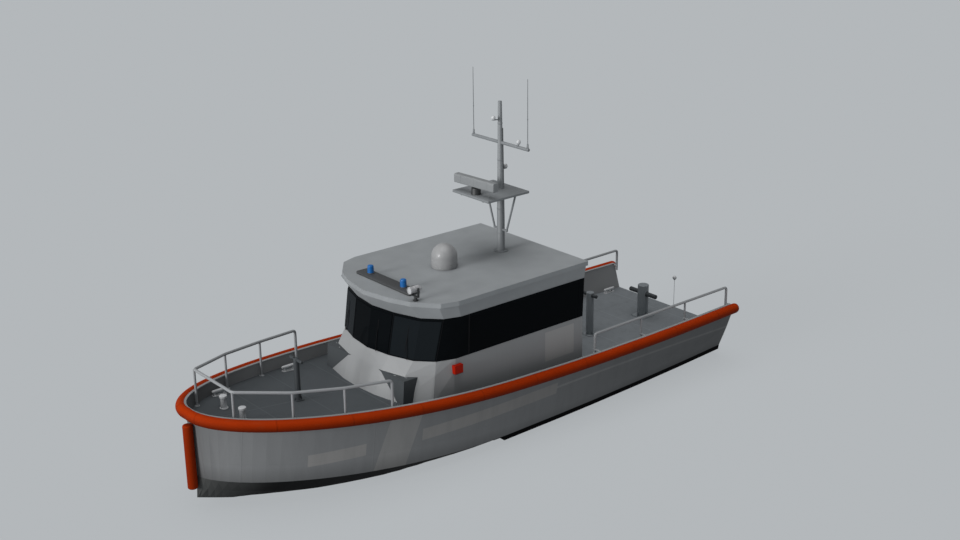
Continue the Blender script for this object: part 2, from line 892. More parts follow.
def rounded_end(length: float, radius: float, edge: float, steps: int = 4) -> list[tuple[float, float]]:
    """Profile of a plain round bar whose two ends are rounded off by a quarter circle.

    Args:
        length: the bar's length.
        radius: its radius.
        edge: radius of the quarter circles.
        steps: points on each.

    Returns:
        Distances with their radii.
    """
    a = np.linspace(0.0, math.pi / 2, steps)
    rise = np.stack([edge * (1 - np.cos(a)), radius - edge * (1 - np.sin(a))], -1)
    fall = np.stack([length - rise[::-1, 0], rise[::-1, 1]], -1)
    return [tuple(p) for p in np.concatenate([rise, fall])]


def slab(low: Sequence[float], high: Sequence[float], corner: float = 0.01, edge: float = 0.003,
         steps: int = 4) -> Patch:
    """Box with rounded corners in plan and rounded edges above and below.

    Args:
        low: its lowest corner.
        high: its highest corner.
        corner: radius of the corners in plan.
        edge: radius of the edges above and below.
        steps: points round a corner.

    Returns:
        The box.
    """
    low_point, high_point = np.asarray(low, float), np.asarray(high, float)
    centre, half = (low_point + high_point) / 2, (high_point - low_point) / 2
    corner = min(corner, half[0], half[1])
    edge = min(edge, half[2], corner)
    rise = np.linspace(0.0, math.pi / 2, 3)
    inset = edge * (1 - np.sin(rise))
    level = half[2] - edge * (1 - np.cos(rise))
    insets = np.concatenate([inset, inset[::-1]])[:, None]
    levels = np.concatenate([-level, level[::-1]])[:, None]
    angle = (np.arange(4)[:, None] * math.pi / 2 + np.linspace(0.0, math.pi / 2, steps)).reshape(-1)
    middle = np.repeat(np.arange(4) * math.pi / 2 + math.pi / 4, steps)
    sign_x, sign_y = np.sign(np.cos(middle)), np.sign(np.sin(middle))
    x = sign_x * (half[0] - corner) + np.cos(angle) * (corner - insets)
    y = sign_y * (half[1] - corner) + np.sin(angle) * (corner - insets)
    rings = np.stack([x, y, np.broadcast_to(levels, x.shape)], -1)
    return carried(rings + centre)


def lying(patch: Patch, axes: str) -> Patch:
    """The patch with its x, y and z taken from other axes, such as "zxy"; faces are turned outwards again."""
    order = ["xyz".index(letter) for letter in axes]
    return outward(replace(patch, points=patch.points[:, order]))


def facing_aft(patch: Patch) -> Patch:
    """The patch turned so that its upper side faces aft: x from -z, y from x and z from y."""
    turned = lying(patch, "zxy")
    return outward(replace(turned, points=turned.points * (-1.0, 1.0, 1.0)))


def bolt_head(radius: float = 0.011, height: float = 0.007) -> Patch:
    """Low hexagon head standing on z = 0."""
    return spin(((-0.002, radius), (height * 0.7, radius), (height, radius * 0.8)), (0, 0, 0), sides=6)


def bolts_round(x: float, y: float, z: float, radius: float, count: int = 4, size: float = 0.009) -> Patch:
    """Bolt heads on a circle in a level plane."""
    angle = (np.arange(count) + 0.5) * math.tau / count
    places = np.stack([x + radius * np.cos(angle), y + radius * np.sin(angle), np.full(count, z)], -1)
    return bolt_head(size).repeated(places)


def piece(name: str, patches: Sequence[Patch], finish: Finish, body: Body = Body.BOAT,
          stands_for: Sequence[str] = (), crease: float = 38.0) -> bpy.types.Object:
    """Put patches into the scene as one piece.

    Args:
        name: the piece's name.
        patches: its closed surfaces.
        finish: its finish.
        body: the body that it rides on.
        stands_for: CAD nodes that it is shown instead of.
        crease: angle in degrees above which edges stay sharp.

    Returns:
        The object.
    """
    whole = joined(patches)
    mesh = bpy.data.meshes.new(name)
    mesh.from_pydata(whole.points.tolist(), [], whole.quads.tolist() + whole.tris.tolist())
    mesh.attributes.new("run", "FLOAT", "POINT").data.foreach_set("value", whole.run.astype(np.float32))
    mesh.shade_smooth()
    mesh.set_sharp_from_angle(angle=math.radians(crease))
    mesh.materials.append(finish.material())
    made = bpy.data.objects.new(name, mesh)
    bpy.context.scene.collection.objects.link(made)
    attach(made, body.value)
    if stands_for:
        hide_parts(*stands_for)
    log.info("%s: %d points, %d faces", name, len(whole.points), len(mesh.polygons))
    return made


def dress(finish: Finish, *names: str) -> None:
    """Give CAD nodes a finish.

    Args:
        finish: the finish.
        names: the nodes' names.
    """
    for name in names:
        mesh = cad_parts[name].data
        mesh.materials.clear()
        mesh.materials.append(finish.material())
    log.info("%s on %s", finish.name, ", ".join(names))


def both(*names: str) -> list[str]:
    """Port and starboard names of nodes."""
    return [f"{name}_{hand}" for name in names for _, hand in SIDES]


# The boat's own lines, as its source draws them

@dataclass(frozen=True)
class Rise:
    """A height that rises towards the bow.

    Attributes:
        low: height up to the start.
        rise: how much it gains.
        start: x at which it starts to rise.
        length: distance in which it gains the whole rise.
        power: power of the share of that distance.
    """

    low: float
    rise: float
    start: float
    length: float
    power: float

    def at(self, x: Any) -> Any:
        """Height at x, a number, an array or a shader value: low + rise x share ^ power."""
        share = (x - self.start) / self.length
        above = share.at_least(0.0) if isinstance(share, Sock) else np.clip(share, 0.0, None)
        return self.low + self.rise * above ** self.power


SHEER = Rise(low=1.414, rise=0.757, start=-6.30, length=13.08, power=2.36)
CHINE = Rise(low=0.25, rise=0.49, start=0.5, length=6.14, power=1.55)
HALF_BEAM = 2.05
MIDSHIP_X = 0.5
TRANSOM_X = -6.74
TRANSOM_TUCK = 0.12
BOW_LENGTH = 6.20
BOW_FULLNESS = 1.93
HOUSE_AFT_X = -2.055
HOUSE_FRONT_X = 2.95
COCKPIT_Z = 0.80
SIDE_DECK_Z = (1.18, 1.47)
FOREDECK_RISE = 0.41
FOREDECK_LENGTH = 3.80


def deck_level(x: float) -> float:
    """Height of the deck's top: level aft, and two straight slopes forward of the house's aft wall.

    Args:
        x: place along the boat.

    Returns:
        The height.
    """
    if x < HOUSE_AFT_X:
        return COCKPIT_Z
    if x < HOUSE_FRONT_X:
        share = (x - HOUSE_AFT_X) / (HOUSE_FRONT_X - HOUSE_AFT_X)
        return SIDE_DECK_Z[0] + share * (SIDE_DECK_Z[1] - SIDE_DECK_Z[0])
    return SIDE_DECK_Z[1] + (x - HOUSE_FRONT_X) / FOREDECK_LENGTH * FOREDECK_RISE


def half_aft(x: float | Array) -> float | Array:
    """Half-breadth at the gunwale abaft amidships: the half beam less a square that grows to the transom."""
    return HALF_BEAM - TRANSOM_TUCK * ((MIDSHIP_X - x) / (MIDSHIP_X - TRANSOM_X)) ** 2


@dataclass
class Gunwale:
    """The port gunwale as arrays.

    Attributes:
        line: its points from the transom to the stem.
        out: outward directions: straight to the side aft, square to the plan at the bow.
        stem: how near the stem each point is, from 0 to 1.
        run: distance along it.
        aft_count: points abaft amidships.
        bow_count: points forward of it.
        turn_start: x at which the directions start to turn with the plan.
        turn_length: distance in which they do so.
        stem_power: power that keeps the stem's share low until close to it.
    """

    line: Array = field(init=False)
    out: Array = field(init=False)
    stem: Array = field(init=False)
    run: Array = field(init=False)
    aft_count: int = 40
    bow_count: int = 90
    turn_start: float = 2.4
    turn_length: float = 1.2
    stem_power: int = 5

    def __post_init__(self) -> None:
        """Straight-ended aft body, then a superellipse: x = midship + length sin^(2/n), y = half beam cos."""
        aft_x = np.linspace(TRANSOM_X, MIDSHIP_X, self.aft_count, endpoint=False)
        turn = np.linspace(0.0, 1.0, self.bow_count)
        angle = turn * math.pi / 2
        x = np.concatenate([aft_x, MIDSHIP_X + BOW_LENGTH * np.sin(angle) ** (2 / BOW_FULLNESS)])
        y = np.concatenate([half_aft(aft_x), HALF_BEAM * np.clip(np.cos(angle), 0.0, None)])
        self.line = np.stack([x, y, SHEER.at(x)], -1)
        tangent = np.gradient(self.line[:, :2], axis=0)
        true = unit(np.stack([-tangent[:, 1], tangent[:, 0]], -1))
        true[-1] = (1.0, 0.0)
        share = np.clip((x - self.turn_start) / self.turn_length, 0.0, 1.0)[:, None]
        share = share * share * (3 - 2 * share)
        flat = unit(true * share + np.array([0.0, 1.0]) * (1 - share))
        self.out = np.concatenate([flat, np.zeros((len(x), 1))], -1)
        self.stem = np.concatenate([np.zeros(self.aft_count), turn ** self.stem_power])
        step = np.linalg.norm(np.diff(self.line, axis=0), axis=-1)
        self.run = np.concatenate([[0.0], np.cumsum(step)])


# Sub-assemblies

@dataclass
class Stage:
    """Floor, soft light and the camera."""

    floor_half: float = 400.0
    floor_colour: Colour = (0.075, 0.080, 0.083)
    floor_glow: Colour = (0.393, 0.412, 0.427)
    floor_roughness: float = 0.9
    horizon: Colour = (0.452, 0.474, 0.491)
    zenith: Colour = (0.135, 0.142, 0.148)
    horizon_height: float = 0.34
    key_strength: float = 2.30
    key_from: Triple = (0.97, -0.03, 0.24)
    key_angle: float = math.radians(20.0)
    top_strength: float = 1.60
    top_from: Triple = (0.12, 0.0, 0.99)
    top_angle: float = math.radians(60.0)
    camera_at: Triple = (17.833, 21.979, 13.545)
    yaw: float = math.radians(230.114)
    pitch: float = math.radians(-19.797)
    roll: float = math.radians(-0.686)
    focal_px: float = 1394.73
    image_px: float = 960.0
    sensor_mm: float = 36.0
    far_clip: float = 2000.0

    def build(self) -> None:
        """Put everything in."""
        self.lay_floor()
        self.light()
        self.place_camera()

    def lay_floor(self) -> None:
        """A level square at the waterline, in a pale paint that glows a little so that shadows stay soft."""
        half = self.floor_half
        corners = [(-half, -half, 0), (half, -half, 0), (half, half, 0), (-half, half, 0)]
        mesh = bpy.data.meshes.new("floor")
        mesh.from_pydata(corners, [], [(0, 1, 2, 3)])
        graph = Graph("floor_pale")
        mesh.materials.append(graph.output(self.floor_colour, self.floor_roughness, Specular_IOR_Level=0.0,
                                           Emission_Color=(*self.floor_glow, 1.0), Emission_Strength=1.0))
        floor = bpy.data.objects.new("floor", mesh)
        bpy.context.scene.collection.objects.link(floor)

    def light(self) -> None:
        """A sky as pale as the floor at the horizon, a broad low key light and a broader one from above."""
        world = bpy.data.worlds.new("studio")
        world.use_nodes = True
        tree = world.node_tree
        place, split, rise, blend = (tree.nodes.new(kind) for kind in (
            "ShaderNodeTexCoord", "ShaderNodeSeparateXYZ", "ShaderNodeMapRange", "ShaderNodeMix"))
        rise.inputs["From Max"].default_value = self.horizon_height
        blend.data_type = "RGBA"
        blend.inputs[6].default_value = (*self.horizon, 1.0)
        blend.inputs[7].default_value = (*self.zenith, 1.0)
        sky = tree.nodes["Background"].inputs["Color"]
        for source, target in ((place.outputs["Generated"], split.inputs[0]),
                               (split.outputs["Z"], rise.inputs[0]),
                               (rise.outputs[0], blend.inputs[0]), (blend.outputs[2], sky)):
            tree.links.new(source, target)
        scene = bpy.context.scene
        scene.world = world
        scene.view_settings.view_transform = "Standard"
        self.sun("key", self.key_strength, self.key_from, self.key_angle)
        self.sun("top", self.top_strength, self.top_from, self.top_angle)

    def sun(self, name: str, strength: float, towards: Triple, angle: float) -> None:
        """A distant light.

        Args:
            name: its name.
            strength: its power per area.
            towards: direction from the boat to it.
            angle: its apparent size.
        """
        lamp = bpy.data.lights.new(name, "SUN")
        lamp.energy = strength
        lamp.angle = angle
        made = bpy.data.objects.new(name, lamp)
        made.matrix_world = Vector(towards).to_track_quat("Z", "Y").to_matrix().to_4x4()
        bpy.context.scene.collection.objects.link(made)

    def place_camera(self) -> None:
        """The photograph's view: looking along yaw and pitch, with a small roll."""
        d = np.array([math.cos(self.pitch) * math.cos(self.yaw), math.cos(self.pitch) * math.sin(self.yaw),
                      math.sin(self.pitch)])
        level = np.array([math.sin(self.yaw), -math.cos(self.yaw), 0.0])
        up = np.cross(level, d)
        right = math.cos(self.roll) * level + math.sin(self.roll) * up
        above = -math.sin(self.roll) * level + math.cos(self.roll) * up
        lens = bpy.data.cameras.new("photo_view")
        lens.sensor_width = self.sensor_mm
        lens.lens = self.focal_px / self.image_px * self.sensor_mm
        lens.clip_end = self.far_clip
        camera = bpy.data.objects.new("photo_view", lens)
        turn = Matrix.Identity(4)
        for column, vector in enumerate((right, above, -d, np.array(self.camera_at))):
            for row in range(3):
                turn[row][column] = float(vector[row])
        camera.matrix_world = turn
        bpy.context.scene.collection.objects.link(camera)
        bpy.context.scene.camera = camera


@dataclass
class Hull:
    """Hull, decks and bulwarks, with their collar and stem fender."""

    collar_radius: float = 0.118
    collar_out: float = 0.12
    stem_tuck: float = 0.115
    wall_out: float = 0.046
    wall_tuck: float = 0.07
    collar_drop: float = 0.09
    end_reach: float = 0.09
    end_rings: int = 9
    end_smallest: float = 0.04
    section_points: int = 29
    centre_gap: float = 0.0004
    fender_radius: float = 0.10
    fender_x: float = 6.76
    fender_back: float = 6.6638
    fender_z: tuple[float, float] = (0.51, 1.86)
    fender_edge: float = 0.03
    fender_run: float = 0.4

    def build(self) -> None:
        """Dress the shell and add the fenders."""
        dress(HULL, "hull", *both("bulwark"))
        dress(DECK, "foredeck")
        dress(COCKPIT, "cockpit_deck")
        self.collar()
        self.stem_fender()

    def collar(self) -> None:
        """Round band carried along the gunwale and rounded off past the transom.

        Each ring is centre + radius x (cos a x out + sin a x up), with a between the two places where the
        ring meets the wall behind it: cos a = (wall's distance - centre's distance) / radius.
        """
        edge = Gunwale()
        turn = np.arccos(np.linspace(self.end_smallest, 1.0, self.end_rings))
        reach = np.concatenate([self.end_reach * np.sin(turn), np.zeros(len(edge.line))])
        size = np.concatenate([np.cos(turn), np.ones(len(edge.line))])[:, None, None]
        repeat = [np.repeat(a[:1], self.end_rings, 0) for a in (edge.line, edge.out, edge.stem)]
        line, out, stem = (np.concatenate(pair) for pair in zip(repeat, (edge.line, edge.out, edge.stem)))
        centre = line + (self.collar_out - self.stem_tuck * stem)[:, None] * out
        centre[:, 2] -= self.collar_drop
        centre[:, 0] -= reach
        behind = self.wall_out - self.collar_out + (self.stem_tuck - self.wall_tuck) * stem
        reach_back = np.arccos(behind / self.collar_radius)[:, None]
        angle = (reach_back * np.linspace(-1.0, 1.0, self.section_points))[..., None]
        spokes = np.cos(angle) * out[:, None] + np.sin(angle) * np.array([0.0, 0.0, 1.0])
        rings = centre[:, None] + size * self.collar_radius * spokes
        rings[..., 1] = np.maximum(rings[..., 1], self.centre_gap)
        run = np.concatenate([-reach[:self.end_rings], edge.run])
        band = carried(rings, run=run)
        for side, hand in SIDES:
            piece(f"collar_foam_{hand}", [band.on(side)], FOAM, stands_for=[f"collar_{hand}"])

    def stem_fender(self) -> None:
        """Upright round fender with rounded ends, its back pressed flat on the stem."""
        low, high = self.fender_z
        outline = rounded_end(high - low, self.fender_radius, self.fender_edge, 6)
        body = spin(outline, (self.fender_x, 0, low), sides=48)
        body.points[:, 0] = np.maximum(body.points[:, 0], self.fender_back)
        body.run[:] = self.fender_run
        piece("stem_fender_foam", [body], FOAM, stands_for=["stem_fender"])


@dataclass
class Rails:
    """Bow rail and aft rails, with their feet."""

    radius: float = 0.030
    post_radius: float = 0.024
    bow_bend: float = 0.07
    bow_posts: tuple[Triple, ...] = ((6.15, 0.715, 2.595), (5.17, 1.239, 2.469),
                                     (4.18, 1.537, 2.370), (3.19, 1.728, 2.297))
    aft_bend: float = 0.075
    aft_posts: tuple[float, ...] = (-6.67, -5.21, -3.745, -2.28)
    aft_y: float = 1.825
    aft_z: float = 1.81
    aft_foot: float = 1.28
    seat_in: float = 0.017
    foot_radius: float = 0.055
    foot_height: float = 0.009

    def build(self) -> None:
        """Both sets of rails."""
        self.bow()
        for side, hand in SIDES:
            self.aft(side, hand)

    def bow(self) -> None:
        """One bent tube over upright posts, each on a bolted round foot that lies on the sloping deck."""
        port = np.array(self.bow_posts)[::-1]
        foot = np.array([*port[0, :2], deck_level(port[0, 0])])
        half = np.concatenate([foot[None], port])
        corners = np.concatenate([half, (half * (1, -1, 1))[::-1]])
        parts = [tube(bent(corners, self.bow_bend), self.radius, 20)]
        for i, (x, y, z) in enumerate(port):
            level = deck_level(x)
            post = [] if i == 0 else [tube(((x, y, level), (x, y, z)), self.post_radius)]
            post.append(self.foot(x, y, level + 0.001))
            parts += [p.on(side) for p in post for side, _ in SIDES]
        piece("bow_rail_tubes", parts, TUBE, stands_for=["bow_rail"])

    def foot(self, x: float, y: float, z: float) -> Patch:
        """Round foot with a weld bead and three bolts, tilted with the deck.

        Args:
            x: where it stands along the boat.
            y: where it stands across it.
            z: height of its underside.

        Returns:
            The foot.
        """
        plate = spin(rounded_end(self.foot_height, self.foot_radius, 0.003), (x, y, z), sides=28)
        bead = spin(((0.0, 0.036), (0.006, 0.034), (0.016, self.post_radius + 0.002)),
                    (x, y, z + self.foot_height - 0.001), sides=24)
        heads = bolts_round(x, y, z + self.foot_height, 0.043, 3, 0.007)
        return joined([plate, bead, heads]).sheared(FOREDECK_RISE / FOREDECK_LENGTH, x)

    def aft(self, side: float, hand: str) -> None:
        """A rail bent down at its ends, with middle posts and a bolted bracket to the cap at each post.

        Args:
            side: 1 for port, -1 for starboard.
            hand: the side's name.
        """
        y, z = self.aft_y, self.aft_z
        first, last = self.aft_posts[0], self.aft_posts[-1]
        corners = ((first, y, self.aft_foot), (first, y, z), (last, y, z), (last, y, self.aft_foot))
        parts = [tube(bent(corners, self.aft_bend), self.radius, 20)]
        parts += [tube(((x, y, self.aft_foot), (x, y, z)), self.post_radius) for x in self.aft_posts[1:-1]]
        for x in self.aft_posts:
            seat = half_aft(x) - self.seat_in
            level = float(SHEER.at(x))
            parts.append(slab((x - 0.02, y - 0.028, level - 0.027), (x + 0.02, seat, level + 0.003), 0.008))
            parts.append(bolt_head(0.007, 0.006).moved((x, (y + 0.03 + seat) / 2, level + 0.003)))
            parts.append(spin(rounded_end(0.04, 0.031, 0.006), (x, y, level - 0.035), sides=20))
            parts.append(spin(rounded_end(0.01, self.radius + 0.002, 0.004),
                              (x, y, self.aft_foot - 0.004), sides=20))
        piece(f"aft_rail_tubes_{hand}", [p.on(side) for p in parts], TUBE,
              stands_for=[f"aft_rail_{hand}"])


@dataclass
class DeckGear:
    """Cleats, bollards, bitts and the stern light.

    Attributes:
        cleats: name, x, y and half length of each pair of cleats.
        bollard: where the port bollard stands and its top.
        bitts: name, x, post radius, post top, bar height, bar half length and bar radius of each bitt.
        stern_light: where the light stands and its top.
        cleat_rise: how far a cleat's bar stands above the deck under its higher end.
        cleat_radius: radius of the bar.
        plate: thickness of the foot plates.
        globe_radius: radius of the stern light's globe.
    """

    cleats: tuple[tuple[str, float, float, float], ...] = (
        ("fore", 5.49, 1.00, 0.17), ("mid", 3.53, 1.52, 0.17), ("aft", -6.26, 1.68, 0.18))
    bollard: Triple = (5.76, 0.36, 2.05)
    bitts: tuple[tuple[str, float, float, float, float, float, float], ...] = (
        ("fore_bitt", 4.27, 0.06, 2.53, 2.49, 0.215, 0.033),
        ("mid_bitt", -3.92, 0.09, 1.87, 1.80, 0.22, 0.042),
        ("tow_bitt", -5.74, 0.135, 1.61, 1.39, 0.43, 0.055))
    stern_light: Triple = (-6.70, 0.15, 1.64)
    cleat_rise: float = 0.088
    cleat_radius: float = 0.036
    plate: float = 0.012
    globe_radius: float = 0.0515

    def build(self) -> None:
        """All the deck gear."""
        for label, x, y, half in self.cleats:
            cast = self.cleat(x, y, half)
            for side, hand in SIDES:
                name = f"cleat_{label}_{hand}"
                piece(name + "_cast", [cast.on(side)], CLEAT, stands_for=[name])
        for side, hand in SIDES:
            piece(f"bollard_{hand}_cast", [self.bollard_post().on(side)], CLEAT,
                  stands_for=[f"bollard_{hand}"])
        for name, *sizes in self.bitts:
            finish = BITT if sizes[0] > 0 else AFT_BITT
            post, *bars, base, gussets = self.bitt(*sizes)
            piece(name + "_post", [post, base, gussets], finish, stands_for=[name])
            piece(name + "_bar", bars, BITT)
        self.light()

    def cleat(self, x: float, y: float, half: float) -> Patch:
        """Horn cleat on two legs.

        The bar's radius falls with the square of the share of the way out and closes with its 16th power;
        its height rises with the square.

        Args:
            x: its middle along the boat.
            y: its middle across it.
            half: half its length.

        Returns:
            The cleat.
        """
        share = np.linspace(-1.0, 1.0, 25)
        level, slope = deck_level(x), (deck_level(x + half) - deck_level(x - half)) / (2 * half)
        top = max(deck_level(x - half), deck_level(x + half)) + self.cleat_rise
        path = np.stack([x + half * share, np.full(len(share), y), top + 0.004 * share ** 2], -1)
        taper = np.clip(1.0 - 0.30 * share ** 2 - 0.66 * share ** 16, 0.002, 1.0)
        parts = [tube(path, self.cleat_radius * np.sqrt(taper), 20, (0, 0, 1))]
        for offset in (-half * 0.62, half * 0.62):
            foot = deck_level(x + offset)
            rise = top - foot
            parts.append(spin(((0.004, 0.038), (0.02, 0.029), (rise * 0.5, 0.024), (rise, 0.026)),
                              (x + offset, y, foot), sides=20))
        reach, upper = half * 0.95, level + self.plate
        plate = slab((x - reach, y - 0.05, level + 0.001), (x + reach, y + 0.05, upper), 0.04)
        heads = np.array([(x + s * half * 0.8, y + t * 0.034, upper) for s in (-1, 1) for t in (-1, 1)])
        parts.append(joined([plate, bolt_head(0.006, 0.005).repeated(heads)]).sheared(slope, x))
        return joined(parts)

    def bollard_post(self) -> Patch:
        """Mushroom-headed post with a welded foot, its profile in (height, radius).

        Returns:
            The port bollard.
        """
        x, y, top = self.bollard
        foot = deck_level(x + 0.06) - 0.008
        rise = top - foot
        profile = [(0.0, 0.085), (0.012, 0.085), (0.016, 0.070), (0.03, 0.0625), (rise - 0.075, 0.0615),
                   (rise - 0.06, 0.066), (rise - 0.052, 0.0765), (rise - 0.012, 0.078), (rise - 0.004, 0.072),
                   (rise, 0.055), (rise, 0.002)]
        return spin(profile, (x, y, foot), sides=36)

    def bitt(self, x: float, radius: float, top: float, bar_z: float, bar_half: float,
             bar_radius: float) -> list[Patch]:
        """Round post with a chamfered top, a foot plate and gussets, and a round bar across it.

        Args:
            x: where it stands.
            radius: the post's radius.
            top: the post's top.
            bar_z: height of the bar's axis.
            bar_half: half the bar's length.
            bar_radius: the bar's radius.

        Returns:
            Post, bar, two collars round the bar, foot plate and gussets.
        """
        foot = deck_level(x + radius) + 0.001
        low = min(deck_level(x - radius * 1.5), foot)
        rise = top - foot
        profile = [(0.0, radius), (rise - 0.018, radius), (rise - 0.008, radius - 0.004),
                   (rise - 0.002, radius - 0.014), (rise, radius - 0.03), (rise, 0.002)]
        bar = spin(rounded_end(2 * bar_half, bar_radius, 0.014, 5), (x, -bar_half, bar_z), (0, 1, 0), 28)
        collars = [spin(((0.0, bar_radius + 0.012), (0.012, bar_radius + 0.003)),
                        (x, side * (radius - 0.004), bar_z), (0, side, 0), 28) for side in (1, -1)]
        slope = (deck_level(x + radius) - deck_level(x - radius)) / (2 * radius)
        level = deck_level(x) + 0.001
        half, corner, upper = radius * 1.55, radius * 1.3, level + self.plate
        plate = slab((x - half, -half, level), (x + half, half, upper), 0.03)
        heads = np.array([(x + a * corner, b * corner, upper) for a in (-1, 1) for b in (-1, 1)])
        base = joined([plate, bolt_head(0.012, 0.009).repeated(heads)]).sheared(slope, x)
        web = slab((x + radius - 0.004, -0.006, low), (x + radius * 1.4, 0.006, foot + radius * 0.9), 0.005)
        gussets = joined([web.spun(k * math.pi / 2, (x, 0, 0)) for k in range(4)])
        return [spin(profile, (x, 0, foot), sides=44), bar, *collars, base, gussets]

    def light(self) -> None:
        """Stern light: a thin pole on a bolted foot, its profile in (height, radius), with a clear globe."""
        x, y, top = self.stern_light
        foot = COCKPIT_Z + 0.0005
        profile = ((0.0, 0.035), (0.012, 0.035), (0.02, 0.014), (0.04, 0.006), (0.725, 0.005),
                   (0.73, 0.020), (0.742, 0.020), (0.746, 0.016))
        pole = spin(profile, (x, y, foot), sides=24)
        piece("stern_light_pole", [pole, bolts_round(x, y, foot + 0.012, 0.027, 3, 0.004)], CLEAT,
              stands_for=["stern_light"])
        centre = (x, y, top - self.globe_radius - 0.0005)
        piece("stern_light_globe", [globe(centre, self.globe_radius)], CLEAR)


def globe(centre: Sequence[float], radius: float) -> Patch:
    """Ball: distance -r cos a along z, radius r sin a, from pole to pole."""
    a = np.linspace(0.05, math.pi - 0.05, 17)
    return spin(np.stack([-radius * np.cos(a), radius * np.sin(a)], -1), centre, sides=28)


@dataclass
class House:
    """Wheelhouse: paint, glazing and the black band round it."""

    # Plan of the glazed wall's foot, from the middle of its front aft, and lengths of the sides of its head.
    sill: tuple[tuple[float, float], ...] = ((2.53, 0.0), (2.445, 0.62), (2.2526, 1.20), (1.9383, 1.54),
                                             (1.53, 1.6794), (-2.01, 1.70))
    head_lengths: tuple[float, ...] = (0.6457, 0.6532, 0.463, 0.372, 3.42)
    head_front: float = 2.37
    sill_z: float = 2.27
    head_z: float = 3.17
    pane_z: tuple[float, float] = (2.306, 3.104)
    # Places round the wall are counted in corners; a wiper has its spindle's place and its blade's lean.
    pillars: tuple[tuple[float, float], ...] = ((0.945, 1.055), (2.93, 4.095), (4.958, 4.9999))
    beads: tuple[float, ...] = (1.0, 3.0, 4.093)
    last: float = 4.9999
    stand: float = 0.005
    sunk: float = 0.003
    wiper_places: tuple[tuple[float, float], ...] = ((0.45, -0.05), (1.75, -0.12), (-1.75, 0.12))
    window_y: tuple[float, float] = (0.62, 1.50)
    window_z: tuple[float, float] = (2.30, 3.01)
    seal_x: float = -2.019
    door_face: float = -2.0553
    dog_z: tuple[float, ...] = (1.45, 1.78, 2.45, 2.80)

    def build(self) -> None:
        """Dress the panels and panes, and add the band, seals and wipers."""
        dress(HOUSE, "cabin_front", "cabin_aft", "aft_door", *both("cabin_side"))
        dress(ROOF, "roof")
        dress(GLASS, "windscreen_centre", "door_glass", *both("window", "window_aft"))
        dress(SCREEN, *both("windscreen"))
        self.band()
        self.wipers()
        self.aft_seals()
        self.door_fittings()

    def head(self) -> Array:
        """Head outline: each side parallel to the sill's, its own length long."""
        sill = np.array(self.sill)
        sides = unit(np.diff(sill, axis=0)) * np.array(self.head_lengths)[:, None]
        head = np.concatenate([[[self.head_front, 0.0]], sides]).cumsum(0)
        head[-1] = head[-2] + sides[-1] * ((sill[-1, 0] - head[-2, 0]) / sides[-1, 0])
        return head

    def wall(self, place: Array, z: Array) -> Array:
        """Points of the glazed wall at places round it and heights.

        Between corners 0 to 4 the plan is a straight line from one corner to the next; past corner 4 the
        place counts along x, so that upright edges stay upright. Negative places are to starboard.

        Args:
            place: corner numbers, -5 to 5.
            z: heights, the same shape.

        Returns:
            Points, xyz last.
        """
        sill, head = np.array(self.sill), self.head()
        share = (z - self.sill_z) / (self.head_z - self.sill_z)
        size = np.abs(place)
        whole = np.arange(6.0)
        foot, top = ([np.interp(size, whole, outline[:, k]) for k in (0, 1)] for outline in (sill, head))
        corner = [(1 - share) * low + share * high for low, high in zip(foot, top)]
        x_aft = sill[4, 0] + (sill[5, 0] - sill[4, 0]) * (size - 4)
        along = [(o[4, 0] - x_aft) / (o[4, 0] - o[5, 0]) for o in (sill, head)]
        y_aft = [o[4, 1] + a * (o[5, 1] - o[4, 1]) for o, a in zip((sill, head), along)]
        aft = size > 4
        x = np.where(aft, x_aft, corner[0])
        y = np.where(aft, (1 - share) * y_aft[0] + share * y_aft[1], corner[1])
        return np.stack([x, np.sign(place) * y, z], -1)

    def strip(self, start: float, end: float, low: float, high: float, stand: float | None = None) -> Patch:
        """Flat strip round the wall, its section from just under the skin to where it stands out.

        Args:
            start: first place round the wall.
            end: last place.
            low: lower edge.
            high: upper edge.
            stand: how far it stands out.

        Returns:
            The closed strip.
        """
        out = self.stand if stand is None else stand
        inner = np.arange(math.ceil(start + 1e-6), math.floor(end - 1e-6) + 1)
        places = np.concatenate([[start], inner, [end]])
        rows = self.wall(np.repeat(places[:, None], 2, 1), np.repeat([[low, high]], len(places), 0))
        lower, upper = rows[:, 0], rows[:, 1]
        tangent = unit(np.gradient(lower[:, :2], axis=0))
        normal = np.stack([tangent[:, 1], -tangent[:, 0], np.zeros(len(places))], -1)
        if (normal[0] * lower[0]).sum() < 0:
            normal = -normal
        near, far = normal * -self.sunk, normal * out
        return carried(np.stack([lower + near, lower + far, upper + far, upper + near], 1))

    def band(self) -> None:
        """Black band of bonded glazing: strips above and below the panes and pillars between them."""
        low, high = self.sill_z + 0.001, self.head_z - 0.001
        pane_low, pane_high = self.pane_z
        parts = [self.strip(-self.last, self.last, pane_high, high),
                 self.strip(-self.last, self.last, low, pane_low)]
        for side, _ in SIDES:
            for pillar in self.pillars:
                start, end = sorted(side * place for place in pillar)
                parts.append(self.strip(start, end, pane_low - 0.002, pane_high + 0.002))
        piece("glazing_band", parts, BAND, crease=20.0)
        beads = [self.strip(side * place - 0.004, side * place + 0.004, low, high, 0.009)
                 for side, _ in SIDES for place in self.beads]
        piece("glazing_beads", beads, RUBBER)

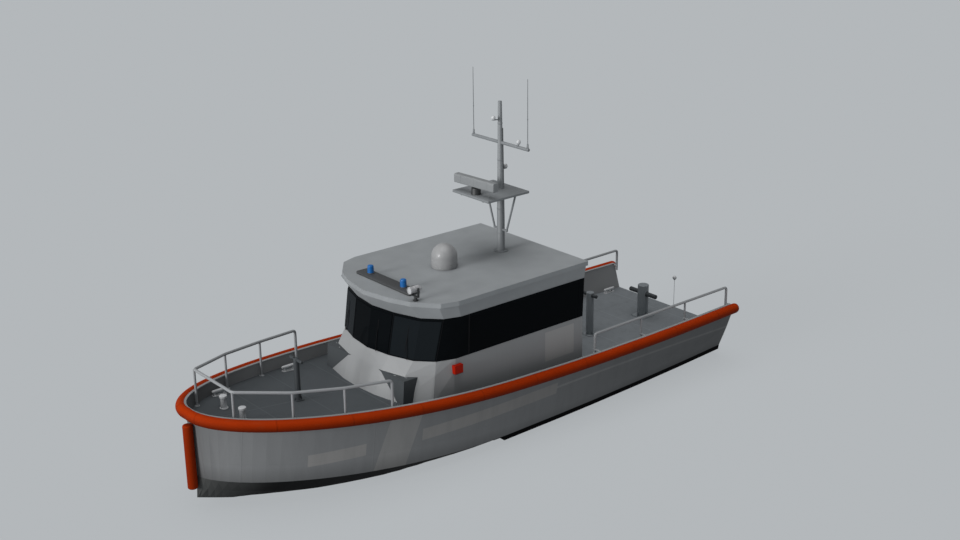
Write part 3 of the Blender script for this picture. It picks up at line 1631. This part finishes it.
    def wipers(self) -> None:
        """Three wipers: an arm from a spindle under each windscreen, and a blade parked upright."""
        spindle_z, blade_low, bend_z, blade_high = 2.29, 2.42, 2.72, 2.93
        parts = []
        for place, lean in self.wiper_places:
            low, high = self.wall(np.array([place, place + lean]), np.array([spindle_z, blade_high]))
            middle = self.wall(np.array([place + lean]), np.array([bend_z]))[0]
            out = unit(np.array([low[0] - 1.2, low[1] * 0.8, 0.25]))
            spindle = spin(rounded_end(0.05, 0.017, 0.005), low - out * 0.004, out, 16)
            arm = tube(np.stack([low + out * 0.036, low + out * 0.046 + (middle - low) * 0.3,
                                 middle + out * 0.03]), 0.006, 8)
            reach = np.linspace(0.0, 1.0, 9)[:, None]
            foot = self.wall(np.array([place + lean * 1.1]), np.array([blade_low]))[0]
            blade = tube(foot + out * 0.016 + (high - foot) * reach, 0.008, 8)
            parts += [spindle, arm, blade]
        piece("wipers", parts, RUBBER)

    def aft_seals(self) -> None:
        """Rubber seals round the aft windows."""
        parts = []
        for side, _ in SIDES:
            low, high = sorted(side * y for y in self.window_y)
            parts += frame_round(self.seal_x, (low, high), self.window_z, 0.018, 0.012)
        piece("aft_window_seals", parts, RUBBER)

    def door_fittings(self) -> None:
        """Seal round the door's window, dogs down its free edge and a kick plate."""
        face = self.door_face
        parts = frame_round(face - 0.004, (-0.23, 0.25), (2.15, 2.85), 0.02, 0.01)
        piece("door_window_seal", parts, RUBBER, Body.DOOR)
        dogs = []
        for z in self.dog_z:
            dogs.append(spin(rounded_end(0.03, 0.02, 0.005), (face + 0.002, -0.34, z), (-1, 0, 0), 20))
            dogs.append(slab((face - 0.032, -0.345, z - 0.09), (face - 0.018, -0.325, z + 0.015), 0.006))
        dogs.append(facing_aft(slab((-0.30, 1.24, 2.056), (0.34, 1.46, 2.0585), 0.012, 0.001)))
        piece("door_dogs", dogs, TUBE, Body.DOOR)


def frame_round(x: float, y: tuple[float, float], z: tuple[float, float], width: float,
                thick: float) -> list[Patch]:
    """Upright rectangular frame across the boat, its two posts and two bars laid round an opening.

    Args:
        x: where its middle lies along the boat.
        y: the opening's sides.
        z: the opening's sill and head.
        width: width of the posts and bars.
        thick: their thickness.

    Returns:
        The posts and the bars.
    """
    back, front = x - thick / 2, x + thick / 2
    (y_low, y_high), (z_low, z_high) = y, z
    return [slab((back, y_low - width, z_low - width), (front, y_low, z_high + width), 0.003),
            slab((back, y_high, z_low - width), (front, y_high + width, z_high + width), 0.003),
            slab((back, y_low - 0.001, z_low - width), (front, y_high + 0.001, z_low), 0.003),
            slab((back, y_low - 0.001, z_high), (front, y_high + 0.001, z_high + width), 0.003)]


@dataclass
class RoofGear:
    """Light bar, dome, searchlight, mast, aerials, scanner and sidelights."""

    roof: float = 3.5503
    bar_x: tuple[float, float] = (1.81, 2.11)
    bar_half: float = 0.93
    beacon_x: float = 1.94
    beacons: tuple[float, ...] = (0.52, -0.615)
    dome: Triple = (0.45, 0.28, 0.52)  # x, radius and height
    pivot: Triple = (2.15, 1.20, 3.80)
    mast_x: float = -1.14
    mast_top: float = 6.90
    arm_z: float = 6.00
    arm_half: float = 0.92
    strut_z: float = 4.05
    shelf_x: tuple[float, float] = (-1.45, -0.28)
    shelf_half: float = 0.60
    shelf_z: float = 4.98
    radar: Triple = (-0.45, 0.0, 5.2)
    scanner_half: float = 0.612
    scanner_turn: float = math.radians(3.5)
    lamps: tuple[Triple, ...] = ((-0.95, 0.0, 6.56), (-1.14, 0.593, 6.116), (-1.289, 0.0, 5.443))
    lamp_radius: float = 0.0498
    bands: tuple[float, ...] = (3.95, 4.5, 5.6, 6.4)
    whip_y: float = 0.88

    def build(self) -> None:
        """Everything on the roof."""
        self.light_bar()
        self.radome()
        self.searchlight()
        self.mast()
        self.aerials()
        self.scanner()
        self.sidelights()

    def light_bar(self) -> None:
        """Flat bar with rounded ends, and two blue beacons with grooved sides, each on a ring."""
        top = self.roof
        low, high = self.bar_x
        bar = slab((low, -self.bar_half, top + 0.001), (high, self.bar_half, top + 0.05), 0.05, 0.012)
        edge = ((0.0, 0.080), (0.012, 0.080), (0.018, 0.074))
        rings = [spin(edge, (self.beacon_x, y, top + 0.048)) for y in self.beacons]
        piece("light_bar_body", [bar, *rings], BAR, stands_for=["light_bar"])
        height, foot, head, depth = 0.12, 0.070, 0.067, 0.0015
        profile = [(0.0, foot)]
        for share in (k / 8 for k in range(1, 8)):
            radius = foot + share * (head - foot)
            profile += [(height * share - 0.004, radius), (height * share, radius - depth)]
        profile += [(height, head), (0.145, 0.065), (0.16, 0.058), (0.168, 0.046), (0.172, 0.03),
                    (0.173, 0.002)]
        lenses = [spin(profile, (self.beacon_x, y, top + 0.057)) for y in self.beacons]
        piece("beacon_lenses", lenses, BLUE, crease=60.0)

    def radome(self) -> None:
        """Cylinder with a joint groove, and a dome on it: height s + (h - s) sin a, radius r cos a."""
        x, radius, height = self.dome
        spring = 0.239
        a = np.linspace(0.0, math.pi / 2 - 0.01, 18)[1:]
        lower = [(0.0, radius - 0.01), (0.008, radius - 0.002), (0.10, radius - 0.001),
                 (0.102, radius - 0.005), (0.108, radius - 0.005), (0.11, radius), (0.235, radius)]
        upper = np.stack([spring + (height - spring) * np.sin(a), radius * np.cos(a)], -1)
        shell = spin(np.concatenate([lower, upper]), (x, 0, self.roof), sides=56)
        piece("radome_shell", [shell], DOME, stands_for=["radome"], crease=50.0)

    def searchlight(self) -> None:
        """Lamp barrel with fins, bezel and glass on trunnions, in a yoke on a round foot."""
        x, y, z = self.pivot
        base = self.roof
        foot = ((0.001, 0.055), (0.018, 0.055), (0.024, 0.05), (0.03, 0.034), (0.1, 0.031))
        yoke = [spin(foot, (x, y, base)), bolts_round(x, y, base + 0.018, 0.043, 4, 0.005),
                slab((x - 0.03, y - 0.1, base + 0.088), (x + 0.03, y + 0.1, base + 0.105), 0.012)]
        for side in (1, -1):
            inner, outer = sorted((y + side * 0.0845, y + side * 0.0995))
            yoke.append(slab((x - 0.027, inner, base + 0.09), (x + 0.027, outer, z + 0.04), 0.006))
            yoke.append(spin(rounded_end(0.006, 0.018, 0.002), (x, y + side * 0.0985, z), (0, side, 0), 20))
        piece("searchlight_bracket", yoke, BLACK, Body.YOKE, ["searchlight_yoke"])
        barrel = [(0.0, 0.02), (0.002, 0.040), (0.01, 0.047), (0.05, 0.060)]
        fins, pitch, inner, outer = 6, 0.022, 0.0605, 0.0675
        for start in (0.06 + pitch * k for k in range(fins)):
            barrel += [(start, inner), (start + 0.001, outer), (start + 0.008, outer), (start + 0.009, inner)]
        barrel += [(0.20, 0.064), (0.255, 0.067), (0.258, 0.073), (0.286, 0.074), (0.29, 0.071),
                   (0.289, 0.066), (0.276, 0.064), (0.275, 0.002)]
        pins = spin(rounded_end(0.165, 0.0135, 0.002), (x, y - 0.0825, z), (0, 1, 0), 20)
        back = (x - 0.13, y, z)
        body = spin(barrel, back, (1, 0, 0), 40)
        piece("searchlight_barrel", [body, pins], LAMP_BODY, Body.LAMP, ["searchlight_head"], 30.0)
        share = np.linspace(1.0, 0.0, 8)
        crown = np.stack([0.2755 + 0.008 * (1 - share ** 2), 0.0635 * share + 0.001], -1)
        glass = spin(np.concatenate([[(0.274, 0.0645)], crown]), back, (1, 0, 0), 40)
        piece("searchlight_glass", [glass], CLEAR, Body.LAMP)

    def mast(self) -> None:
        """Tapered pole with its crossarm, radar shelf, struts, bands and lamp arms, and what it carries."""
        x, top = self.mast_x, self.mast_top
        rise = top - self.roof
        pole = [(0.001, 0.16), (0.016, 0.16), (0.02, 0.155), (0.021, 0.098), (0.04, 0.090),
                (rise - 0.008, 0.0425), (rise - 0.002, 0.038), (rise, 0.030), (rise, 0.002)]
        arm = rounded_end(2 * self.arm_half, 0.035, 0.012, 5)
        low, high = self.shelf_x
        shelf, half = self.shelf_z, self.shelf_half
        parts = [spin(pole, (x, 0, self.roof), sides=40),
                 bolts_round(x, 0, self.roof + 0.017, 0.135, 8, 0.012),
                 spin(arm, (x, -self.arm_half, self.arm_z), (0, 1, 0), 28),
                 slab((low, -half, shelf - 0.05), (high, half, shelf), 0.02, 0.006)]
        for side in (1, -1):
            strut = ((x, side * 0.50, shelf - 0.03), (x, side * 0.20, self.strut_z))
            parts.append(tube(strut, 0.022, 18, (1, 0, 0)))
            parts.append(slab((low + 0.05, side * 0.36 - 0.012, shelf - 0.085),
                              (high - 0.05, side * 0.36 + 0.012, shelf - 0.045), 0.004))
        parts.append(spin(rounded_end(0.44, 0.026, 0.008), (x, -0.22, self.strut_z), (0, 1, 0), 20))
        for lx, ly, lz in self.lamps:
            foot = (x, ly, self.arm_z if ly else lz - 0.06)
            parts.append(tube((foot, (lx, ly, lz - 0.045)), 0.012, 12, (0.1, 1, 0.3)))
            parts.append(spin(((0.0, 0.03), (0.006, 0.036), (0.02, 0.036)), (lx, ly, lz - 0.05), sides=24))
        for z in self.bands:
            size = 0.09 - (z - self.roof) / rise * 0.0475
            parts.append(spin(rounded_end(0.03, size + 0.004, 0.003), (x, 0, z), sides=36))
        piece("mast_structure", parts, MAST, stands_for=["mast"])
        globes = [globe(lamp, self.lamp_radius) for lamp in self.lamps]
        piece("mast_lamp_globes", globes, CLEAR)
        cable = ((x - 0.105, 0.0, 3.56), (x - 0.10, 0.0, 4.3), (x - 0.088, 0.0, 5.2), (x - 0.072, 0.0, 6.3))
        piece("mast_cable_run", [tube(cable, 0.012, 10, (0, 1, 0))], BLACK)
        radar_x, radar_y, _ = self.radar
        profile = [(0.001, 0.110), (0.02, 0.110), (0.03, 0.106), (0.12, 0.104), (0.14, 0.098),
                   (0.152, 0.06), (0.153, 0.03), (0.1585, 0.03)]
        pedestal = spin(profile, (radar_x, radar_y, shelf), sides=36)
        bolts = bolts_round(radar_x, radar_y, shelf + 0.02, 0.100, 4, 0.004)
        piece("radar_pedestal", [pedestal, bolts], BLACK)

    def aerials(self) -> None:
        """Whips: a ferrule, a loading collar and a thin tapering rod."""
        base = self.arm_z + 0.0353
        profile = [(0.001, 0.026), (0.014, 0.026), (0.016, 0.021), (0.085, 0.020), (0.095, 0.012),
                   (0.105, 0.0095), (0.60, 0.0088), (0.604, 0.012), (0.625, 0.012), (0.629, 0.0086),
                   (1.46, 0.0065), (1.464, 0.002)]
        for side, hand in SIDES:
            whip = spin(profile, (self.mast_x, side * self.whip_y, base), sides=16)
            piece(f"whip_aerial_{hand}", [whip], MAST, stands_for=[f"whip_{hand}"])

    def scanner(self) -> None:
        """Open-array bar: a rounded section carried along it, drawn in at its ends by a quarter circle.

        The section is a superellipse, cos^0.3 across and sin^0.3 upwards, a little narrower at the top.
        """
        edge = 0.018
        turn = np.linspace(0.0, math.pi / 2, 5)
        along = self.scanner_half - edge * (1 - np.sin(turn[::-1]))
        inset = edge * (1 - np.cos(turn[::-1]))
        place = np.concatenate([-along, along[::-1]])[:, None]
        inset = np.concatenate([inset, inset[::-1]])[:, None]
        angle = np.linspace(0.0, math.tau, 49)[:-1]
        cos, sin = np.cos(angle), np.sin(angle)
        across = np.sign(cos) * (np.abs(cos) ** 0.3 * (0.080 - 0.005 * sin) - inset)
        up = 0.04 + np.sign(sin) * (np.abs(sin) ** 0.3 * 0.0995 - inset)
        rings = np.stack([across, place + 0 * across, up], -1)
        bar = carried(rings).spun(self.scanner_turn, (0, 0, 0)).moved(self.radar)
        ribs = [slab((-0.083, s * 0.40 - 0.006, -0.052), (0.083, s * 0.40 + 0.006, 0.12), 0.004)
                .spun(self.scanner_turn, (0, 0, 0)).moved(self.radar) for s in (-1, 0, 1)]
        piece("scanner_array", [bar, *ribs], SCANNER, Body.SCANNER, ["radar_scanner"])

    def sidelights(self) -> None:
        """Lens blocks, each on a dark foot."""
        for side, hand in SIDES:
            name, finish = f"sidelight_{hand}", RED if side > 0 else GREEN
            dress(finish, name)
            low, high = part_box(name)
            y_low, y_high = sorted((side * 1.69, side * 1.772))
            foot = slab((low.x - 0.005, y_low, low.z - 0.012), (high.x + 0.005, y_high, low.z + 0.002), 0.008)
            piece(f"sidelight_foot_{hand}", [foot], BLACK)


@dataclass
class Lockers:
    """Foredeck lockers and their lids.

    Attributes:
        hinge: ends of the port lid's hinge line in plan.
        top: height of the lids' top.
    """

    hinge: tuple[tuple[float, float], tuple[float, float]] = ((2.62, 0.86), (2.42, 1.355))
    top: float = 1.97

    def build(self) -> None:
        """Dress the boxes and lids and add hinge knuckles."""
        dress(LOCKER, *both("locker", "locker_lid"))
        for side, hand in SIDES:
            (ax, ay), (bx, by) = self.hinge
            along = unit(np.array([bx - ax, by - ay, 0.0]))
            start = np.array([ax, ay, self.top - 0.002])
            knuckles = [spin(rounded_end(0.06, 0.007, 0.002), start + along * distance, along, 14)
                        for distance in (0.1, 0.36)]
            piece(f"locker_hinge_{hand}", [k.on(side) for k in knuckles], TUBE,
                  Body(f"lid_{hand}"))


@dataclass
class Cabin:
    """Helm console and seats behind the dark windows."""

    seat_x: float = -0.55
    seat_y: float = 0.75
    wheel_at: Triple = (1.30, 0.75, 2.02)
    wheel_radius: float = 0.17
    rim_radius: float = 0.014

    def build(self) -> None:
        """Dress the console, add its wheel and screens, and build the seats."""
        dress(BLACK, "helm_console")
        self.helm()
        self.seats()

    def helm(self) -> None:
        """Steering wheel with three spokes on its shaft, and three screens."""
        centre = np.array(self.wheel_at)
        axis = unit(np.array([-0.8, 0.0, 0.45]))
        a = np.linspace(0.0, math.tau, 13)[:-1]
        ring = np.stack([self.rim_radius * np.cos(a), self.wheel_radius + self.rim_radius * np.sin(a)], -1)
        wheel = [spin(ring, centre, axis, 40, looped=True)]
        wheel.append(spin(rounded_end(0.05, 0.03, 0.008), centre - axis * 0.02, axis, 24))
        side = unit(np.cross(axis, (0, 1, 0)))
        for k in range(3):
            angle = math.tau * k / 3
            spoke = math.cos(angle) * side + math.sin(angle) * np.array([0.0, 1.0, 0.0])
            wheel.append(tube(np.stack([centre, centre + spoke * self.wheel_radius]), 0.008, 10, axis))
        wheel.append(tube(np.stack([centre, centre - axis * 0.16]), 0.02, 16, (0, 1, 0)))
        piece("helm_wheel", wheel, RUBBER)
        screens = [slab((1.62, y - 0.19, 2.152), (1.66, y + 0.19, 2.40), 0.008) for y in (0.75, 0.0, -0.75)]
        piece("helm_screens", screens, BAND)

    def seats(self) -> None:
        """Pedestals on a plinth, with padded seats and backs."""
        floor = deck_level(1.2)
        x, y = self.seat_x, self.seat_y
        frames = [slab((-0.75, -1.05, deck_level(-0.35) + 0.002), (-0.35, 1.05, floor + 0.10), 0.03, 0.01)]
        post = ((0.0, 0.07), (0.01, 0.07), (0.02, 0.055), (0.38, 0.05), (0.39, 0.11), (0.40, 0.11))
        tray = slab((x - 0.27, -0.22, floor + 0.478), (x + 0.22, 0.22, floor + 0.492), 0.04)
        back_plate = slab((x - 0.275, -0.20, floor + 0.48), (x - 0.255, 0.20, floor + 1.12), 0.008)
        for side in (1, -1):
            frames.append(spin(post, (x, side * y, floor + 0.09), sides=28))
            frames += [plate.moved((0.0, side * y, 0.0)) for plate in (tray, back_plate)]
        piece("seat_frames", frames, BLACK, stands_for=["crew_seats"])
        for side, hand in SIDES:
            base = self.cushion(0.25, 0.26, 0.055).moved((x, side * y, floor + 0.545))
            back = lying(self.cushion(0.30, 0.245, 0.05), "zyx").moved((x - 0.205, side * y, floor + 0.88))
            for name, pad in ((f"seat_pad_{hand}", base), (f"seat_back_{hand}", back)):
                piece(name, [pad], SEAT, crease=70.0)

    def cushion(self, half_x: float, half_y: float, half_z: float) -> Patch:
        """Crowned pad: a superellipse plan whose sides pull in between the corners, swollen up and down.

        Rings run from the bottom's middle over the rim to the top's: at angle a the plan's size is
        cos(a)^0.45 and the height sin(a)^0.8, less two sewn channels across.

        Args:
            half_x: half its depth.
            half_y: half its width.
            half_z: half its thickness.

        Returns:
            The closed pad.
        """
        rows, columns = 31, 56
        rise = np.linspace(-math.pi / 2 + 0.02, math.pi / 2 - 0.02, rows)[:, None]
        turn = (np.arange(columns) * math.tau / columns)[None]
        size = np.cos(rise) ** 0.45
        pull = 1.0 - 0.035 * np.cos(2 * turn) ** 2 * size ** 4
        x = half_x * size * pull * np.sign(np.cos(turn)) * np.abs(np.cos(turn)) ** 0.45
        y = half_y * size * pull * np.sign(np.sin(turn)) * np.abs(np.sin(turn)) ** 0.45
        z = half_z * np.sign(rise) * np.abs(np.sin(rise)) ** 0.8
        channel = sum(np.exp(-((x - place * half_x) / 0.008) ** 2) for place in (-0.4, 0.1))
        z = z - np.sign(rise) * 0.006 * channel * np.abs(np.sin(rise))
        return carried(np.stack([x, y, z + 0 * x], -1))


@dataclass
class Jets:
    """Waterjet housings, steering nozzles and reversing buckets."""

    y: float = 0.68
    z: float = -0.02
    transom: float = -6.7403
    end: float = -7.05
    pivot: float = -7.19
    hinge: float = -7.36
    bolts: int = 12
    bolt_circle: float = 0.275
    bore: float = 0.18
    spout_bore: float = 0.14
    shell: tuple[float, float] = (0.33, 0.3565)  # inner and outer radius
    shell_half: float = 0.275
    cheek: float = 0.345

    def build(self) -> None:
        """Both sides."""
        for side, hand in SIDES:
            centre = side * self.y
            self.housing(centre, hand)
            self.nozzle(centre, hand)
            self.bucket(centre, hand)

    def housing(self, y: float, hand: str) -> None:
        """Bored casting with a bolted flange and two lugs for the steering pins.

        Args:
            y: the jet's axis.
            hand: the side's name.
        """
        bore, radius = self.bore, self.bolt_circle
        profile = [(0.0, 0.30), (0.022, 0.30), (0.027, 0.295), (0.034, 0.25), (0.045, 0.242), (0.22, 0.228),
                   (0.225, 0.236), (0.262, 0.235), (0.267, 0.228), (0.308, 0.219), (0.3095, 0.214),
                   (0.3095, bore + 0.005), (0.300, bore), (0.14, bore), (0.10, bore - 0.02), (0.03, 0.03),
                   (0.0, 0.02)]
        angle = (np.arange(self.bolts) + 0.5) * math.tau / self.bolts
        heads = np.stack([np.full(self.bolts, self.transom - 0.022), y + radius * np.cos(angle),
                          self.z + radius * np.sin(angle)], -1)
        parts = [spin(profile, (self.transom, y, self.z), (-1, 0, 0), 48),
                 facing_aft(bolt_head(0.013, 0.009)).repeated(heads)]
        for s in (1, -1):
            low, high = sorted((self.z + s * 0.218, self.z + s * 0.242))
            lug = slab((self.pivot - 0.04, y - 0.05, low), (self.end + 0.12, y + 0.05, high), 0.03, 0.005)
            pin = rounded_end(0.016, 0.026, 0.004)
            parts += [lug, spin(pin, (self.pivot, y, self.z + s * 0.24), (0, 0, s), 20)]
        piece(f"jet_casting_{hand}", parts, JET, stands_for=[f"jet_housing_{hand}"])

    def nozzle(self, y: float, hand: str) -> None:
        """Bored, tapering spout with pins up and down and trunnions across.

        Args:
            y: the jet's axis.
            hand: the side's name.
        """
        start = self.pivot + 0.02
        bore = self.spout_bore
        profile = [(0.0, 0.196), (0.006, 0.200), (0.03, 0.200), (0.2, 0.189), (0.36, 0.168), (0.386, 0.168),
                   (0.39, 0.164), (0.39, bore + 0.005), (0.385, bore), (0.006, bore), (0.0, bore + 0.006)]
        parts = [spin(profile, (start, y, self.z), (-1, 0, 0), 48, looped=True)]
        for s in (1, -1):
            parts.append(spin(((0.0, 0.030), (0.012, 0.027), (0.013, 0.018), (0.032, 0.018)),
                              (self.pivot, y, self.z + s * 0.1855), (0, 0, s), 20))
            parts.append(spin(((0.0, 0.045), (0.018, 0.042), (0.020, 0.028), (0.0745, 0.028)),
                              (self.hinge, y + s * 0.171, self.z), (0, s, 0), 24))
        piece(f"jet_spout_{hand}", parts, JET, Body(f"nozzle_{hand}"), [f"jet_nozzle_{hand}"])

    def bucket(self, y: float, hand: str) -> None:
        """Deflector: a curved shell between two cheeks.

        The shell's section across is a thin rectangle with small chamfers, swept round the hinge from near
        level aft to a little past straight up; each cheek is a sector of a disc with the same centre.

        Args:
            y: the jet's axis.
            hand: the side's name.
        """
        centre = np.array([self.hinge, y, self.z])
        name = f"reverse_bucket_{hand}"
        start = math.asin(0.05 / 0.36)
        a = np.linspace(start, math.pi / 2 + 0.0555, 30)[:, None]
        (inside, outside), half, cut = self.shell, self.shell_half, 0.005
        section = np.array([(inside + 0.001, -half), (outside - 0.001, -half), (outside, cut - half),
                            (outside, half - cut), (outside - 0.001, half), (inside + 0.001, half),
                            (inside, half - cut), (inside, cut - half)])
        radius, across = section[None, :, 0], section[None, :, 1]
        rings = np.stack([-radius * np.cos(a), across + 0 * a, radius * np.sin(a)], -1) + centre
        parts = [carried(rings)]
        arc = self.cheek * np.stack([-np.cos(a[::-1, 0]), np.sin(a[::-1, 0])], -1)
        foot = [(-0.05, 0.045), (-0.05, -0.045), (-0.035, -0.05), (0.0, -0.05), (0.015, -0.04)]
        rim = np.concatenate([[(0.015, 0.19), (0.02, 0.34)], arc, foot])
        for s in (1, -1):
            walls = sorted((s * 0.247, s * half))
            plate = [np.stack([rim[:, 0], np.full(len(rim), wall), rim[:, 1]], -1) for wall in walls]
            parts.append(carried(np.stack(plate) + centre))
            parts.append(spin(rounded_end(0.008, 0.034, 0.003), centre + (0, s * 0.273, 0), (0, s, 0), 24))
        piece(f"reverse_deflector_{hand}", parts, JET, Body(f"bucket_{hand}"), [name])


def main() -> None:
    """Build the classes in order."""
    logging.basicConfig(level=logging.INFO, format="%(name)s: %(message)s")
    for maker in (Stage(), Hull(), Rails(), DeckGear(), House(), RoofGear(), Lockers(), Cabin(), Jets()):
        maker.build()
        log.info("%s done", type(maker).__name__)


if __name__ == "__main__":
    main()
